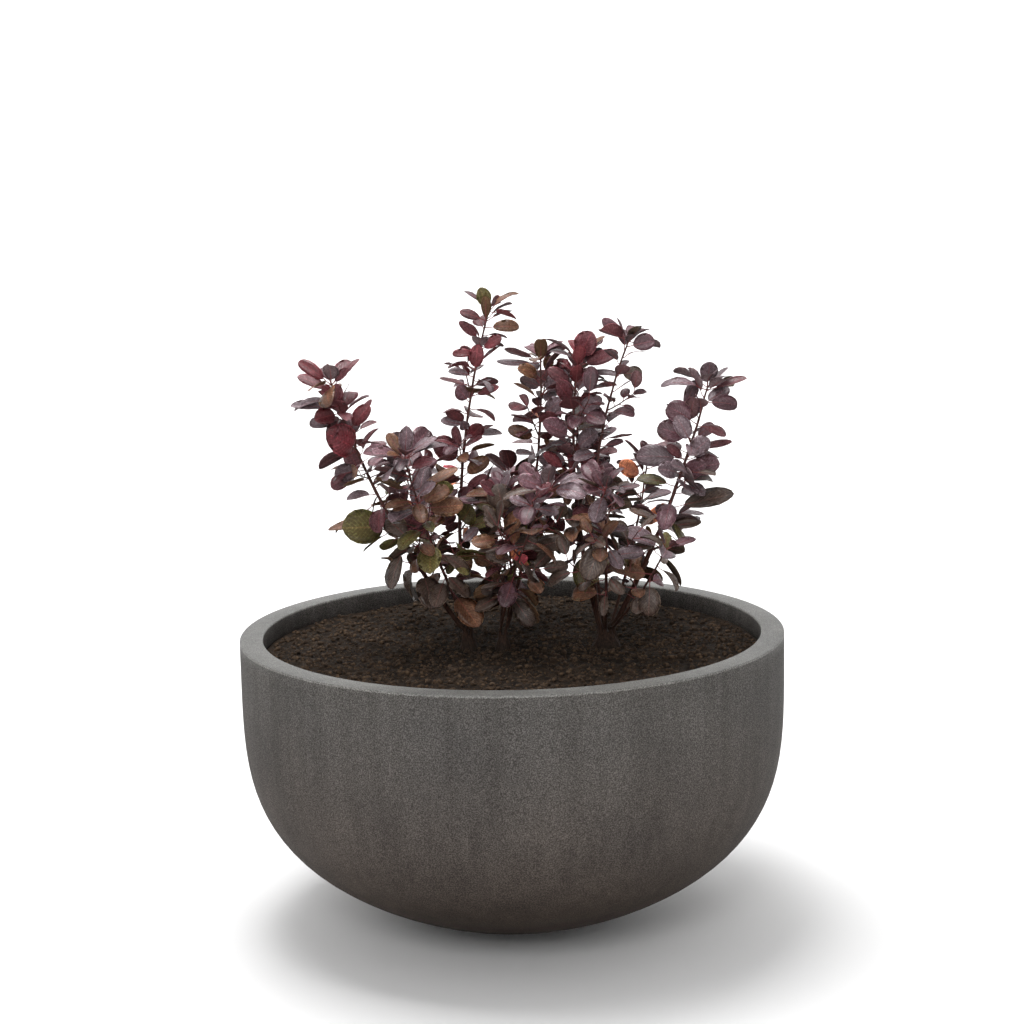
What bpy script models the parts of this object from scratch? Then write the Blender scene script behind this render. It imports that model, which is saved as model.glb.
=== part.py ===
"""A young smoke bush of many stems in a large round bowl planter, built at its real size.

The origin is on the ground under the middle of the bowl. +Z is up and the front is towards -Y.
Every stem of the bush rises from one of three short woody bases that stand on the soil.
"""

import math
import random
from collections import namedtuple

import bmesh
import bpy
from mathutils import Vector
from mathutils.bvhtree import BVHTree

# Clear space between pieces that touch
GAP = 0.0003

# Bowl planter
POT_RADIUS = 0.450
POT_HEIGHT = 0.489
POT_STRAIGHT = 0.042
POT_FOOT_RADIUS = 0.094
POT_TURN_IN = 3.76
POT_FULLNESS = 1.20
POT_WALL = 0.013
POT_FLOOR = 0.018
RIM_WIDTH = 0.038
RIM_DEPTH = 0.030
RIM_EDGE = 0.003
LIP_SLOPE = 0.035
POT_SEGMENTS = 40
POT_STEPS = 12
INNER_STEPS = 4
POT_CROWDING = 1.8

# Soil
SOIL_DROP = 0.029
SOIL_TOP = POT_HEIGHT - SOIL_DROP

# Woody bases of the clump: centre on the soil, and radius at the top
BASE_HEIGHT = 0.024
BASE_FLARE = 1.70
BASE_SIDES = 12
BASE_RINGS = 4
STEM_RING = 0.70
BASES = {
    "left": (-0.072, 0.000, 0.0095),
    "middle": (-0.015, -0.010, 0.0090),
    "right": (0.157, 0.002, 0.0150),
}

# Boughs, twigs and side twigs: lengths in metres, angles in degrees, places as shares of a length
UPRIGHT_START = 0.005
TAPER = 0.8
TWIG_TIP_RADIUS = 0.0012
SIDE_TWIG_RADIUS = 0.0016
SIDE_TWIG_LENGTH = 0.075
SIDE_LENGTHS = (0.80, 1.15)
SIDE_MARGINS = (0.35, 0.25)
SIDE_TURN = 206.0
SIDE_LIFT = 38.0
SIDE_RISE = 0.18
SIDE_LEAVES = 5
SIDE_LEAFY = (0.35, 0.98)
BOUGH_STEPS = 6
TWIG_STEPS = 7
SIDE_STEPS = 3

# Leaves: angles in degrees, and shares of the blade's length or width
LEAF_TURN = 137.5
TURN_SPREAD = 20.0
LIFTS = (-34.0, 50.0)
LIFT_SPREAD = 16.0
ROLL_SPREAD = 26.0
FIRST_LEAF = 0.7
TUFT_PLACE = 0.99
TUFT_LIFTS = (34.0, 60.0)
TUFT_SPREAD = 8.0
TWIG_LIFTS = (18.0, 46.0)
TIP_SHRINK = 0.38
ALONG_BLADE = (0.80, 1.12)
TUFT_BLADE = (0.55, 0.80)
TWIG_BLADE = (0.62, 0.88)
LEAF_WIDTH = 0.72
STALK_SHARE = 0.32
STALK_RADIUS = 0.0008
STALK_START = 0.0034
LEAF_FOLD = 0.16
LEAF_DROOP = 0.10
LEAF_LOW = (0.20, 0.33)
LEAF_HIGH = (0.70, 0.46)

# A leaf that would touch something tries these turns round its twig, in degrees, with this growth
# of its outline and thickness for clear space, and is left out if none is free
TRY_TURNS = (0.0, 40.0, -40.0, 80.0, -80.0)
TEST_GROWTH = 1.05
TEST_THICKNESS = 0.0016
BLADE_START = 0.15
FLAT_ANGLE = math.radians(1.0)
WELD = 0.000002

# Each stem: the base that it rises from, its tip, how far its middle bows aside, its radius at
# the foot, the share of it that is bare, the leaves along it, the leaves in the tuft at its tip,
# its side twigs, and the length of its longest leaf blade.
Stem = namedtuple("Stem", "base tip bow thick bare along tuft twigs blade")
STEMS = {
    "left_long": Stem("left", (-0.283, -0.060, 0.912), (-0.022, 0.0), 0.0032, 0.24, 19, 7, 2, 0.062),
    "left_rosette": Stem("left", (-0.165, -0.125, 0.797), (-0.008, 0.0), 0.0028, 0.18, 14, 8, 2, 0.060),
    "tall": Stem("left", (-0.026, 0.030, 1.020), (-0.026, 0.0), 0.0030, 0.20, 25, 6, 1, 0.048),
    "left_back": Stem("left", (-0.190, 0.200, 0.755), (-0.010, 0.020), 0.0027, 0.30, 11, 6, 2, 0.060),
    "middle_low": Stem("middle", (-0.014, -0.070, 0.722), (0.012, 0.0), 0.0021, 0.16, 11, 5, 1, 0.056),
    "middle_front": Stem("middle", (0.063, -0.140, 0.745), (-0.010, -0.010), 0.0023, 0.18, 12, 7, 1, 0.060),
    "centre_tall": Stem("middle", (0.056, 0.060, 0.935), (0.018, 0.0), 0.0028, 0.25, 20, 5, 2, 0.053),
    "middle_back": Stem("middle", (0.005, 0.225, 0.715), (0.0, 0.025), 0.0026, 0.30, 11, 6, 2, 0.060),
    "right_long": Stem("right", (0.328, 0.000, 0.890), (0.014, 0.0), 0.0040, 0.28, 20, 7, 2, 0.066),
    "centre_thick": Stem("right", (0.117, 0.020, 0.940), (-0.022, 0.0), 0.0040, 0.22, 22, 5, 2, 0.057),
    "centre_right": Stem("right", (0.200, -0.010, 0.970), (-0.034, 0.0), 0.0030, 0.26, 20, 6, 2, 0.053),
    "right_front": Stem("right", (0.150, -0.180, 0.750), (0.0, -0.035), 0.0030, 0.16, 14, 9, 2, 0.064),
    "right_low": Stem("right", (0.250, -0.110, 0.640), (0.005, -0.010), 0.0024, 0.24, 8, 6, 1, 0.066),
    "right_back": Stem("right", (0.240, 0.205, 0.735), (0.010, 0.020), 0.0030, 0.30, 11, 6, 2, 0.060),
    "back_centre": Stem("right", (0.110, 0.240, 0.880), (0.0, 0.025), 0.0030, 0.30, 12, 6, 2, 0.060),
}

# What the rule needs for one leaf, and for one twig with its leaves
Leaf = namedtuple("Leaf", "root axis bearing lift blade roll")
Spray = namedtuple("Spray", "points radii leaves")

# Colour, roughness and metallic value of each material
FINISHES = {
    "pot": ((0.095, 0.088, 0.080), 0.72, 0.0),
    "soil": ((0.030, 0.021, 0.015), 0.95, 0.0),
    "bark": ((0.110, 0.042, 0.032), 0.70, 0.0),
    "leaf": ((0.085, 0.022, 0.032), 0.50, 0.0),
}


def clear_scene():
    """Empty the scene, and add the collection that holds the parts."""
    for old in list(bpy.data.objects):
        bpy.data.objects.remove(old, do_unlink=True)
    parts = bpy.data.collections.new("smoke_bush")
    bpy.context.scene.collection.children.link(parts)
    return parts


def finish(name, kind):
    """One plain material for the named sub-part."""
    colour, roughness, metallic = FINISHES[kind]
    material = bpy.data.materials.new(name + "_finish")
    material.use_nodes = True
    shader = material.node_tree.nodes["Principled BSDF"]
    shader.inputs["Base Color"].default_value = (*colour, 1.0)
    shader.inputs["Roughness"].default_value = roughness
    shader.inputs["Metallic"].default_value = metallic
    return material


def turned(name, profile, parts, kind, segments):
    """A solid of revolution about Z from a profile that runs down its outer side."""
    mesh = bpy.data.meshes.new(name)
    edges = [(i, i + 1) for i in range(len(profile) - 1)]
    mesh.from_pydata([(r, 0.0, z) for r, z in profile], edges, [])
    body = bpy.data.objects.new(name, mesh)
    parts.objects.link(body)
    screw = body.modifiers.new("turn", "SCREW")
    screw.steps = segments
    screw.render_steps = segments
    screw.use_merge_vertices = True
    screw.merge_threshold = 0.00001
    screw.use_smooth_shade = True
    mesh.materials.append(finish(name, kind))
    return body


def bowl_radius(z):
    """Outer radius of the bowl at a height: a full curve from the foot, then a straight side."""
    curved = POT_HEIGHT - POT_STRAIGHT
    if z >= curved:
        return POT_RADIUS
    rise = 1.0 - (1.0 - z / curved) ** POT_TURN_IN
    return POT_FOOT_RADIUS + (POT_RADIUS - POT_FOOT_RADIUS) * rise ** (1.0 / POT_FULLNESS)


def inner_radius(z):
    """Radius of the bowl's inside at a height, with the lip that widens up to the rim."""
    curved = POT_HEIGHT - POT_STRAIGHT
    wall = POT_WALL
    lip = POT_HEIGHT - RIM_DEPTH
    if z > lip - LIP_SLOPE:
        share = min(1.0, (z - lip + LIP_SLOPE) / LIP_SLOPE)
        wall = POT_WALL + (RIM_WIDTH - POT_WALL) * share
    outer_height = curved * max(0.0, z - POT_FLOOR) / (curved - POT_FLOOR)
    return bowl_radius(outer_height) - wall


def inner_heights(top):
    """Heights of the points on the bowl's inside, from the given height down to its floor."""
    lip = POT_HEIGHT - RIM_DEPTH
    heights = [z for z in (lip, lip - LIP_SLOPE) if z < top]
    heights = [top] + heights
    lowest = heights[-1]
    for i in range(1, INNER_STEPS + 1):
        share = (1.0 - i / INNER_STEPS) ** POT_CROWDING
        heights.append(POT_FLOOR + (lowest - POT_FLOOR) * share)
    return heights


def build_pot(parts):
    """The bowl: rounded shell with a flat rim, open at the top, on a small flat foot."""
    profile = [(0.0, POT_FLOOR)]
    for z in reversed(inner_heights(POT_HEIGHT - RIM_EDGE)):
        profile.append((inner_radius(z), z))
    profile.append((POT_RADIUS - RIM_WIDTH + RIM_EDGE, POT_HEIGHT))
    profile.append((POT_RADIUS - RIM_EDGE, POT_HEIGHT))
    profile.append((POT_RADIUS, POT_HEIGHT - RIM_EDGE))
    curved = POT_HEIGHT - POT_STRAIGHT
    for i in range(POT_STEPS + 1):
        z = curved * (1.0 - i / POT_STEPS) ** POT_CROWDING
        profile.append((bowl_radius(z), z))
    profile.append((0.0, 0.0))
    return turned("pot", profile, parts, "pot", POT_SEGMENTS)


def build_soil(parts):
    """The soil that fills the bowl up to just below its rim."""
    profile = [(0.0, SOIL_TOP)]
    for z in inner_heights(SOIL_TOP):
        lift = GAP * 2.0 if z < SOIL_TOP else 0.0
        profile.append((inner_radius(z) - GAP * 2.0, z + lift))
    profile.append((0.0, POT_FLOOR + GAP * 2.0))
    return turned("soil", profile, parts, "soil", POT_SEGMENTS)


def build_base(side, parts):
    """One woody base of the clump, flared where it leaves the soil and cut flat there."""
    x, y, top_radius = BASES[side]
    profile = [(0.0, BASE_HEIGHT)]
    for i in range(BASE_RINGS + 1):
        share = i / BASE_RINGS
        flare = 1.0 + (BASE_FLARE - 1.0) * share * share
        profile.append((top_radius * flare, BASE_HEIGHT * (1.0 - share)))
    profile.append((0.0, 0.0))
    base = turned("stem_base_" + side, profile, parts, "bark", BASE_SIDES)
    base.location = (x, y, SOIL_TOP + GAP)
    return base


def stem_heading(name):
    """Bearing in which a stem leans as it leaves its base."""
    stem = STEMS[name]
    x, y, _ = BASES[stem.base]
    return math.atan2(stem.tip[1] - y + 4.0 * stem.bow[1], stem.tip[0] - x + 4.0 * stem.bow[0])


def stem_foot(name):
    """Where a stem leaves its base: the stems stand evenly round it, each near its own bearing."""
    side = STEMS[name].base
    x, y, radius = BASES[side]
    sharing = sorted((n for n in STEMS if STEMS[n].base == side), key=stem_heading)
    step = 2.0 * math.pi / len(sharing)
    turn = sum(stem_heading(n) - i * step for i, n in enumerate(sharing)) / len(sharing)
    angle = turn + sharing.index(name) * step
    ring = radius * STEM_RING
    foot_height = SOIL_TOP + BASE_HEIGHT + 2.0 * GAP
    return Vector((x + ring * math.cos(angle), y + ring * math.sin(angle), foot_height))


def stem_point(name, t):
    """A point on a stem, from its foot at 0 to its tip at 1."""
    bow = Vector((*STEMS[name].bow, 0.0))
    return stem_foot(name).lerp(Vector(STEMS[name].tip), t) + bow * (4.0 * t * (1.0 - t))


def stem_axis(name, t):
    """Direction of a stem at a point on it."""
    return (stem_point(name, t + 0.01) - stem_point(name, t - 0.01)).normalized()


def stem_radius(name, t):
    """Radius of a stem, which tapers from its foot to its tip."""
    thick = STEMS[name].thick
    return thick + (TWIG_TIP_RADIUS - thick) * t ** TAPER


def tube(name, points, radii, sides_level):
    """A closed tapering tube along the points, as a mesh object."""
    curve = bpy.data.curves.new(name, "CURVE")
    curve.dimensions = "3D"
    curve.bevel_depth = 1.0
    curve.bevel_resolution = sides_level
    curve.use_fill_caps = True
    spline = curve.splines.new("POLY")
    spline.points.add(len(points) - 1)
    for point, place, radius in zip(spline.points, points, radii):
        point.co = (*place, 1.0)
        point.radius = radius
    guide = bpy.data.objects.new(name, curve)
    bpy.context.scene.collection.objects.link(guide)
    seen = guide.evaluated_get(bpy.context.evaluated_depsgraph_get())
    mesh = bpy.data.meshes.new_from_object(seen)
    bpy.data.objects.remove(guide, do_unlink=True)
    shape = bmesh.new()
    shape.from_mesh(mesh)
    bmesh.ops.remove_doubles(shape, verts=shape.verts, dist=0.00001)
    bmesh.ops.recalc_face_normals(shape, faces=shape.faces)
    bmesh.ops.triangulate(shape, faces=shape.faces)
    shape.to_mesh(mesh)
    shape.free()
    mesh.name = name
    return bpy.data.objects.new(name, mesh)


def spread(start, end, count):
    """Evenly spaced values from start to end."""
    return [start + (end - start) * i / (count - 1) for i in range(count)]


def build_bough(name, parts):
    """The bare lower length of a stem, one tapering limb from its base to its foliage."""
    shares = spread(0.0, STEMS[name].bare, BOUGH_STEPS)
    points = [stem_point(name, t) for t in shares]
    points.insert(1, points[0] + Vector((0.0, 0.0, UPRIGHT_START)))
    radii = [stem_radius(name, t) for t in [0.0] + shares]
    bough = tube("bough_" + name, points, radii, 1)
    bough.data.materials.append(finish("bough_" + name, "bark"))
    parts.objects.link(bough)
    return bough


def leaf_direction(axis, bearing, lift):
    """Direction of a leaf or side twig, from its bearing round an axis and its lift, in degrees."""
    across = axis.cross(Vector((0.0, 1.0, 0.0))).normalized()
    other = axis.cross(across).normalized()
    turn = math.radians(bearing)
    rise = math.radians(lift)
    outward = across * math.cos(turn) + other * math.sin(turn)
    return (outward * math.cos(rise) + axis * math.sin(rise)).normalized()


def plan_along(name, first, chance):
    """The leaves along a stem, each turned round it from the one below."""
    stem = STEMS[name]
    leaves = []
    for i in range(stem.along):
        up = (i + FIRST_LEAF) / (stem.along + FIRST_LEAF)
        t = stem.bare + (1.0 - stem.bare) * up
        bearing = first + i * LEAF_TURN + chance.uniform(-TURN_SPREAD, TURN_SPREAD)
        lift = LIFTS[0] + (LIFTS[1] - LIFTS[0]) * up + chance.uniform(-LIFT_SPREAD, LIFT_SPREAD)
        blade = stem.blade * (1.0 - TIP_SHRINK * up) * chance.uniform(*ALONG_BLADE)
        roll = chance.gauss(0.0, ROLL_SPREAD)
        leaves.append(Leaf(stem_point(name, t), stem_axis(name, t), bearing, lift, blade, roll))
    return leaves


def plan_tuft(name, first, chance):
    """The whorl of leaves at a stem's tip."""
    stem = STEMS[name]
    root = stem_point(name, TUFT_PLACE)
    axis = stem_axis(name, TUFT_PLACE)
    leaves = []
    for i in range(stem.tuft):
        bearing = first + i * 360.0 / stem.tuft + chance.uniform(-TURN_SPREAD, TURN_SPREAD)
        lift = TUFT_LIFTS[i % 2] + chance.uniform(-TUFT_SPREAD, TUFT_SPREAD)
        blade = stem.blade * chance.uniform(*TUFT_BLADE)
        leaves.append(Leaf(root, axis, bearing, lift, blade, chance.gauss(0.0, ROLL_SPREAD)))
    return leaves


def plan_side_twig(name, i, first, chance):
    """One side twig of a stem with the leaves on it."""
    stem = STEMS[name]
    share = (i + SIDE_MARGINS[0]) / (stem.twigs + sum(SIDE_MARGINS))
    t = stem.bare + (1.0 - stem.bare) * share
    bearing = first + (i + 0.3) * SIDE_TURN + chance.uniform(-TURN_SPREAD, TURN_SPREAD)
    reach = SIDE_TWIG_LENGTH * chance.uniform(*SIDE_LENGTHS)
    out = leaf_direction(stem_axis(name, t), bearing, SIDE_LIFT)
    rise = Vector((0.0, 0.0, SIDE_RISE * reach))
    root = stem_point(name, t)
    points = [root + out * reach * s + rise * s * s for s in spread(0.0, 1.0, SIDE_STEPS)]
    heading = (points[-1] - points[-2]).normalized()
    leaves = []
    for place in spread(*SIDE_LEAFY, SIDE_LEAVES):
        bearing = first + len(leaves) * LEAF_TURN + chance.uniform(-TURN_SPREAD, TURN_SPREAD)
        lift = TWIG_LIFTS[0] + (TWIG_LIFTS[1] - TWIG_LIFTS[0]) * place
        blade = stem.blade * chance.uniform(*TWIG_BLADE)
        spot = points[0].lerp(points[-1], place)
        leaves.append(Leaf(spot, heading, bearing, lift, blade, chance.gauss(0.0, ROLL_SPREAD)))
    return Spray(points, spread(SIDE_TWIG_RADIUS, TWIG_TIP_RADIUS, SIDE_STEPS), leaves)


def plan_foliage(name):
    """The seeded rule for one stem: the spray of its upper length, then those of its side twigs."""
    stem = STEMS[name]
    chance = random.Random("leaves of " + name)
    length = (stem_point(name, 1.0) - stem_point(name, stem.bare)).length
    begin = stem.bare + (1.0 - stem.bare) * GAP / length
    shares = spread(begin, 1.0, TWIG_STEPS)
    points = [stem_point(name, t) for t in shares]
    radii = [stem_radius(name, t) for t in shares]
    first = chance.uniform(0.0, 360.0)
    leaves = plan_along(name, first, chance) + plan_tuft(name, first, chance)
    sprays = [Spray(points, radii, leaves)]
    for i in range(stem.twigs):
        sprays.append(plan_side_twig(name, i, first, chance))
    return sprays


def leaf_shape(leaf, turn, growth, thicker):
    """One leaf on its stalk: a thin blade folded along its midrib, its root point in the twig."""
    midrib = leaf_direction(leaf.axis, leaf.bearing + turn, leaf.lift)
    up = Vector((0.0, 0.0, 1.0))
    if abs(midrib.z) > 0.9:
        up = leaf.axis.cross(Vector((1.0, 0.0, 0.0)))
    level = up.cross(midrib).normalized()
    roll = math.radians(leaf.roll)
    side = level * math.cos(roll) + midrib.cross(level) * math.sin(roll)
    normal = midrib.cross(side)
    blade = leaf.blade * growth
    stalk = leaf.blade * STALK_SHARE
    width = blade * LEAF_WIDTH
    thick = STALK_RADIUS + thicker
    spots = [
        (0.0, 0.0, 0.0),
        (STALK_START, 0.0, thick),
        (STALK_START, 0.0, -thick),
        (stalk + blade, 0.0, -blade * LEAF_DROOP),
    ]
    for hand in (1.0, -1.0):
        spots.append((STALK_START, hand * thick, 0.0))
        for along, across in (LEAF_LOW, LEAF_HIGH):
            spots.append((stalk + blade * along, hand * width * across, width * across * LEAF_FOLD))
    corners = [leaf.root + midrib * x + side * y + normal * z for x, y, z in spots]
    root, upper, lower, tip = 0, 1, 2, 3
    rim = [4, 5, 6, tip, 9, 8, 7]
    faces = [(upper, a, b) for a, b in zip(rim, rim[1:])]
    faces = faces + [(lower, b, a) for a, b in zip(rim, rim[1:])]
    faces = faces + [(root, 4, upper), (root, lower, 4), (root, upper, 7), (root, 7, lower)]
    return corners, faces


def leaf_object(corners, faces):
    """A leaf's closed mesh, with its faces pointing out."""
    mesh = bpy.data.meshes.new("leaf")
    mesh.from_pydata(corners, [], faces)
    shape = bmesh.new()
    shape.from_mesh(mesh)
    bmesh.ops.recalc_face_normals(shape, faces=shape.faces)
    shape.to_mesh(mesh)
    shape.free()
    return bpy.data.objects.new("leaf", mesh)


def tree_of(bodies):
    """A search tree of the faces of the bodies, in world space."""
    corners = []
    faces = []
    for body in bodies:
        first = len(corners)
        seen = body.evaluated_get(bpy.context.evaluated_depsgraph_get())
        corners.extend(body.matrix_world @ v.co for v in seen.data.vertices)
        faces.extend([first + i for i in p.vertices] for p in seen.data.polygons)
    return BVHTree.FromPolygons(corners, faces)


def largest_piece(mesh):
    """Keep the largest closed piece of a mesh: loose scraps go, and sealed hollows are filled."""
    shape = bmesh.new()
    shape.from_mesh(mesh)
    bmesh.ops.remove_doubles(shape, verts=shape.verts, dist=WELD)
    bmesh.ops.dissolve_limit(shape, angle_limit=FLAT_ANGLE, verts=shape.verts, edges=shape.edges)
    bmesh.ops.triangulate(shape, faces=shape.faces)
    groups = []
    waiting = set(shape.verts)
    while waiting:
        group = []
        front = [waiting.pop()]
        while front:
            vert = front.pop()
            group.append(vert)
            for edge in vert.link_edges:
                other = edge.other_vert(vert)
                if other in waiting:
                    waiting.remove(other)
                    front.append(other)
        groups.append(group)
    groups.sort(key=len)
    for group in groups[:-1]:
        bmesh.ops.delete(shape, geom=group, context="VERTS")
    shape.to_mesh(mesh)
    shape.free()


def blade_tree(corners, faces):
    """A search tree of a leaf's blade without its root, so that neighbours may share a twig."""
    moved = list(corners)
    for i in (0, 1, 2, 4, 7):
        moved[i] = corners[i].lerp(corners[3], BLADE_START)
    return BVHTree.FromPolygons(moved, faces)


def build_mass(name, leaves, twigs, others, parts):
    """One mass of foliage: its twigs and its leaves, fused into one closed body."""
    fused_on = bpy.data.collections.new("fused_on_" + name)
    bpy.context.scene.collection.children.link(fused_on)
    for twig in twigs[1:]:
        fused_on.objects.link(twig)
    placed = []
    for leaf in leaves:
        for turn in TRY_TURNS:
            tree = BVHTree.FromPolygons(*leaf_shape(leaf, turn, TEST_GROWTH, TEST_THICKNESS))
            if any(tree.overlap(other) for other in others + placed):
                continue
            corners, faces = leaf_shape(leaf, turn, 1.0, 0.0)
            if min(corner.z for corner in corners) < POT_HEIGHT:
                continue
            placed.append(blade_tree(corners, faces))
            fused_on.objects.link(leaf_object(corners, faces))
            break
    mass = twigs[0]
    mass.name = "leaves_" + name
    parts.objects.link(mass)
    union = mass.modifiers.new("fuse", "BOOLEAN")
    union.operation = "UNION"
    union.operand_type = "COLLECTION"
    union.collection = fused_on
    union.solver = "EXACT"
    bpy.context.view_layer.update()
    seen = mass.evaluated_get(bpy.context.evaluated_depsgraph_get())
    fused = bpy.data.meshes.new_from_object(seen)
    mass.modifiers.remove(union)
    mass.data = fused
    largest_piece(fused)
    fused.materials.clear()
    fused.materials.append(finish("leaves_" + name, "leaf"))
    for piece in list(fused_on.objects):
        bpy.data.objects.remove(piece, do_unlink=True)
    bpy.data.collections.remove(fused_on)
    return mass


def build_foliage(limbs, parts):
    """All the masses, each kept clear of the limbs, of the other masses and of their twigs."""
    fixed = [tree_of(limbs)]
    plans = {name: plan_foliage(name) for name in STEMS}
    twigs = {name: [tube("twig", plans[name][0].points, plans[name][0].radii, 0)] for name in STEMS}
    leaves = {name: list(plans[name][0].leaves) for name in STEMS}
    for name in STEMS:
        rest = [tree_of([twig for other in STEMS if other != name for twig in twigs[other]])]
        for spray in plans[name][1:]:
            twig = tube("side_twig", spray.points, spray.radii, 0)
            tree = tree_of([twig])
            if any(tree.overlap(other) for other in fixed + rest):
                bpy.data.objects.remove(twig, do_unlink=True)
                continue
            twigs[name].append(twig)
            leaves[name].extend(spray.leaves)
    trees = {name: tree_of(twigs[name]) for name in STEMS}
    for name in STEMS:
        others = [trees[other] for other in STEMS if other != name]
        mass = build_mass(name, leaves[name], twigs[name], fixed + others, parts)
        trees[name] = tree_of([mass])


def main():
    """Build the planter and the bush in it."""
    parts = clear_scene()
    build_pot(parts)
    build_soil(parts)
    limbs = [build_base(side, parts) for side in BASES]
    limbs = limbs + [build_bough(name, parts) for name in STEMS]
    bpy.context.view_layer.update()
    build_foliage(limbs, parts)


main()
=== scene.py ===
"""A young purple smoke bush of many stems in a large low bowl planter, dressed for its picture."""

import math
import random
from collections import namedtuple

import bpy
import numpy as np
from mathutils import Matrix, Vector, noise
from mathutils.bvhtree import BVHTree


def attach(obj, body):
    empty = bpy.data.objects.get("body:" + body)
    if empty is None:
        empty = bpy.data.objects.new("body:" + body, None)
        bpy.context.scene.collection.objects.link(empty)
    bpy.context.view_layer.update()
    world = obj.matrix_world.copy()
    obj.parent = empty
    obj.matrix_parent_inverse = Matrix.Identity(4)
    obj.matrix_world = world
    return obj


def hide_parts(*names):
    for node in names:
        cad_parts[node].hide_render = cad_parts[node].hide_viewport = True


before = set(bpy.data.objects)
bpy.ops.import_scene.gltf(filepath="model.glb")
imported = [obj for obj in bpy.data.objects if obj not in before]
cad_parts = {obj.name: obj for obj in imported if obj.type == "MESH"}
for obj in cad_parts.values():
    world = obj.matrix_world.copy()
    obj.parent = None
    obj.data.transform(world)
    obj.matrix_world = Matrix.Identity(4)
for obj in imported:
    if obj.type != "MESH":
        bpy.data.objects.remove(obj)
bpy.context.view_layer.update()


# The bowl planter
# A low round bowl of cement and glass fibre, pressed in a mould and left matt. Its side stands
# straight at the top, then turns in to a small flat foot, and its rim is a flat ledge.
BOWL_RADIUS = 0.450
BOWL_HEIGHT = 0.489
BOWL_STRAIGHT = 0.042
FOOT_RADIUS = 0.094
BOWL_TURN_IN = 3.76
BOWL_FULLNESS = 1.20
BOWL_WALL = 0.013
BOWL_FLOOR = 0.018
RIM_WIDTH = 0.038
RIM_DEPTH = 0.030
RIM_ROUNDING = 0.0022
RIM_STEPS = 4
RIM_BAND = 0.016
LIP_SLOPE = 0.035
BOWL_FACETS = 180
BOWL_RINGS = 30
RING_CROWDING = 1.7
INSIDE_HEIGHTS = (0.36, 0.29, 0.22, 0.16, 0.11, 0.07, 0.04, BOWL_FLOOR)
bowl_curved = BOWL_HEIGHT - BOWL_STRAIGHT
lip_foot = BOWL_HEIGHT - RIM_DEPTH


def bowl_radius(z):
    """Outer radius of the bowl at a height."""
    if z >= bowl_curved:
        return BOWL_RADIUS
    rise = 1.0 - (1.0 - z / bowl_curved) ** BOWL_TURN_IN
    return FOOT_RADIUS + (BOWL_RADIUS - FOOT_RADIUS) * rise ** (1.0 / BOWL_FULLNESS)


def inside_radius(z):
    """Radius of the bowl's hollow at a height, one wall in from its outside."""
    return bowl_radius(bowl_curved * (z - BOWL_FLOOR) / (bowl_curved - BOWL_FLOOR)) - BOWL_WALL


def pull_rings(rings, radius, height):
    """Extrude the selected face through rings of (radius, height), as a bowl is drawn up."""
    for next_radius, next_height in rings:
        rise = (0, 0, next_height - height)
        bpy.ops.mesh.extrude_region_move(TRANSFORM_OT_translate={"value": rise})
        share = next_radius / radius
        bpy.ops.transform.resize(value=(share, share, 1), center_override=(0, 0, next_height))
        radius, height = next_radius, next_height


def start_round(name, facets, radius, height):
    """Add a filled circle, and open it for editing."""
    bpy.ops.object.select_all(action="DESELECT")
    bpy.ops.mesh.primitive_circle_add(
        vertices=facets, radius=radius, fill_type="NGON", location=(0, 0, height))
    body = bpy.context.object
    body.name = name
    bpy.ops.object.transform_apply(location=True, rotation=True, scale=True)
    bpy.ops.object.mode_set(mode="EDIT")
    bpy.ops.mesh.select_all(action="SELECT")
    return body


def close_up(body, smooth_degrees):
    """Turn the faces outwards, leave editing and shade the piece smooth."""
    bpy.ops.mesh.select_all(action="SELECT")
    bpy.ops.mesh.remove_doubles(threshold=0.000005)
    bpy.ops.mesh.normals_make_consistent(inside=False)
    bpy.ops.object.mode_set(mode="OBJECT")
    bpy.ops.object.shade_smooth_by_angle(angle=math.radians(smooth_degrees))
    return body


def rim_corner(radius, inner):
    """Points round the small rounded edge at the rim's outer or inner corner."""
    points = []
    for i in range(RIM_STEPS + 1):
        turn = math.pi / 2 * i / RIM_STEPS
        if inner:
            points.append((radius + RIM_ROUNDING * (1 - math.sin(turn)),
                           BOWL_HEIGHT - RIM_ROUNDING * (1 - math.cos(turn))))
        else:
            points.append((radius - RIM_ROUNDING * (1 - math.cos(turn)),
                           BOWL_HEIGHT - RIM_ROUNDING * (1 - math.sin(turn))))
    return points


bowl = start_round("bowl", BOWL_FACETS, FOOT_RADIUS, 0.0)
rings = []
for i in range(1, BOWL_RINGS + 1):
    z = bowl_curved * (i / BOWL_RINGS) ** RING_CROWDING
    rings.append((bowl_radius(z), z))
rings.append((BOWL_RADIUS, BOWL_HEIGHT - RIM_BAND))
rings.extend(rim_corner(BOWL_RADIUS, False))
rings.append((BOWL_RADIUS - RIM_WIDTH * 0.5, BOWL_HEIGHT))
rings.extend(rim_corner(BOWL_RADIUS - RIM_WIDTH, True))
rings.append((BOWL_RADIUS - RIM_WIDTH, lip_foot))
rings.append((BOWL_RADIUS - BOWL_WALL, lip_foot - LIP_SLOPE))
rings.extend((inside_radius(z), z) for z in INSIDE_HEIGHTS)
pull_rings(rings, FOOT_RADIUS, 0.0)
close_up(bowl, 40)


Finish = namedtuple("Finish", "material shader add join place")


def new_finish(name, patterned=True):
    """A material, its principled shader, what adds and joins nodes, and the spot's place."""
    material = bpy.data.materials.new(name)
    material.use_nodes = True
    tree = material.node_tree

    def add(kind, **inputs):
        node = tree.nodes.new(kind)
        for key, value in inputs.items():
            if key in node.inputs:
                node.inputs[key].default_value = value
            else:
                setattr(node, key, value)
        return node

    place = add("ShaderNodeTexCoord").outputs["Object"] if patterned else None
    return Finish(material, tree.nodes["Principled BSDF"], add, tree.links.new, place)


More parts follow.
